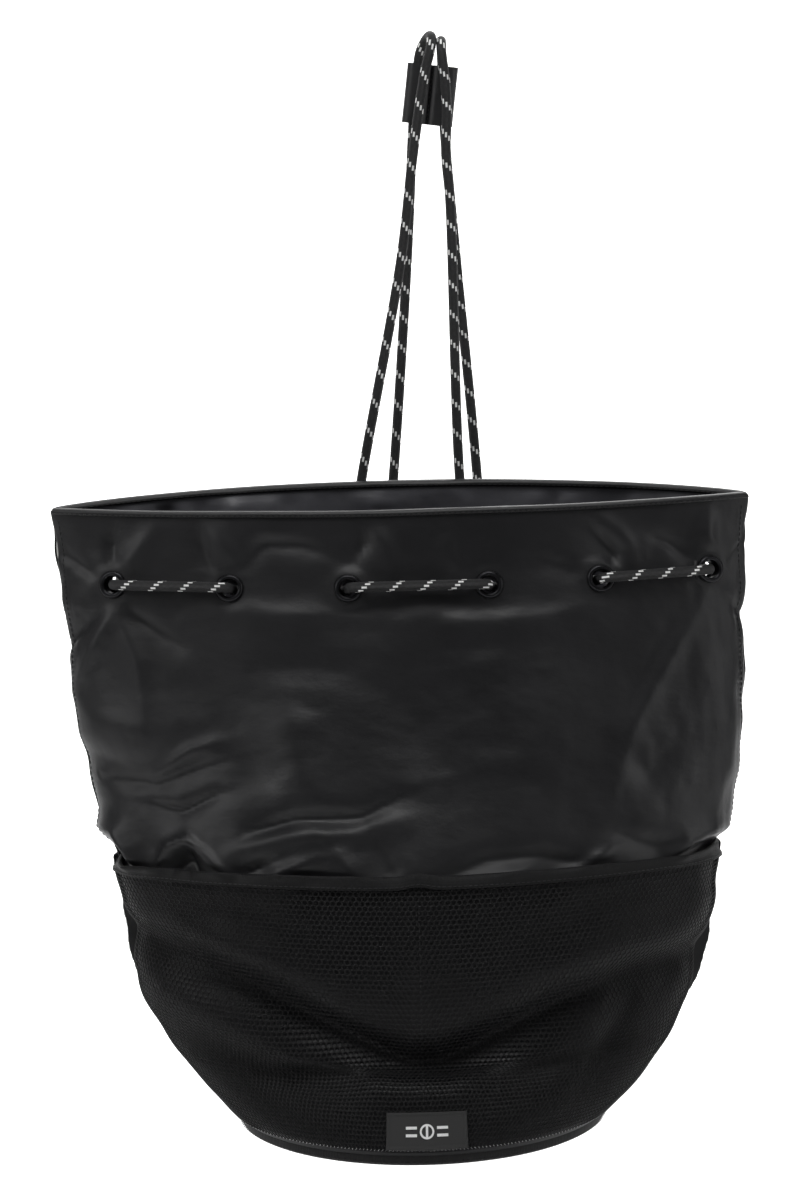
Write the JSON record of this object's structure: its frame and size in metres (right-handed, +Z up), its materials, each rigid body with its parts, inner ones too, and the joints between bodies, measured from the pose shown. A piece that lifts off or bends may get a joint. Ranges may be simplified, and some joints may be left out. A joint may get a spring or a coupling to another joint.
{
  "type": "drawstring ball bag",
  "caption": "Padded black bucket bag with mesh pockets round its foot, a drawcord woven through metal eyelets and a leather cord keeper, hanging by its cord.",
  "frame": {"origin": "top of the peg that the bag hangs from, at the inner top of the cord loops", "axes": "+X to the right seen from the front with the label, +Y towards the back, +Z up"},
  "size_m": [0.4166, 0.2224, 0.6579],
  "materials": {
    "satin_shell": "satin",
    "lining": "satin",
    "wadding": "matte",
    "foam": "matte",
    "air_mesh": "matte",
    "tape": "matte",
    "base_cloth": "matte",
    "label_rubber": "matte",
    "leather": "matte",
    "braided_cord": "matte",
    "black_metal": "satin"
  },
  "bodies": {
    "bag": {"anchor_tab_left": "leather", "anchor_tab_right": "leather", "base_foam": "foam", "base_lining": "lining", "base_panel": "base_cloth", "drawcord": "braided_cord", "eyelet_back_1": "black_metal", "eyelet_back_2": "black_metal", "eyelet_back_3": "black_metal", "eyelet_back_4": "black_metal", "eyelet_back_5": "black_metal", "eyelet_back_6": "black_metal", "eyelet_front_1": "black_metal", "eyelet_front_2": "black_metal", "eyelet_front_3": "black_metal", "eyelet_front_4": "black_metal", "eyelet_front_5": "black_metal", "eyelet_front_6": "black_metal", "label_patch": "label_rubber", "lining_back": "lining", "lining_front": "lining", "mesh_pocket_back": "air_mesh", "mesh_pocket_front": "air_mesh", "padding_back": "wadding", "padding_front": "wadding", "pocket_band_back": "tape", "pocket_band_front": "tape", "rim_hem_back": "satin_shell", "rim_hem_front": "satin_shell", "shell_back": "satin_shell", "shell_front": "satin_shell", "washer_back_1": "black_metal", "washer_back_2": "black_metal", "washer_back_3": "black_metal", "washer_back_4": "black_metal", "washer_back_5": "black_metal", "washer_back_6": "black_metal", "washer_front_1": "black_metal", "washer_front_2": "black_metal", "washer_front_3": "black_metal", "washer_front_4": "black_metal", "washer_front_5": "black_metal", "washer_front_6": "black_metal"},
    "keeper": {"cord_keeper": "leather"}
  },
  "joints": [
    {"name": "keeper_slide", "type": "slide", "parent": "bag", "child": "keeper", "axis": [0.0799, 0.1648, -0.9831], "range_m": [-0.004, 0.012]}
  ]
}
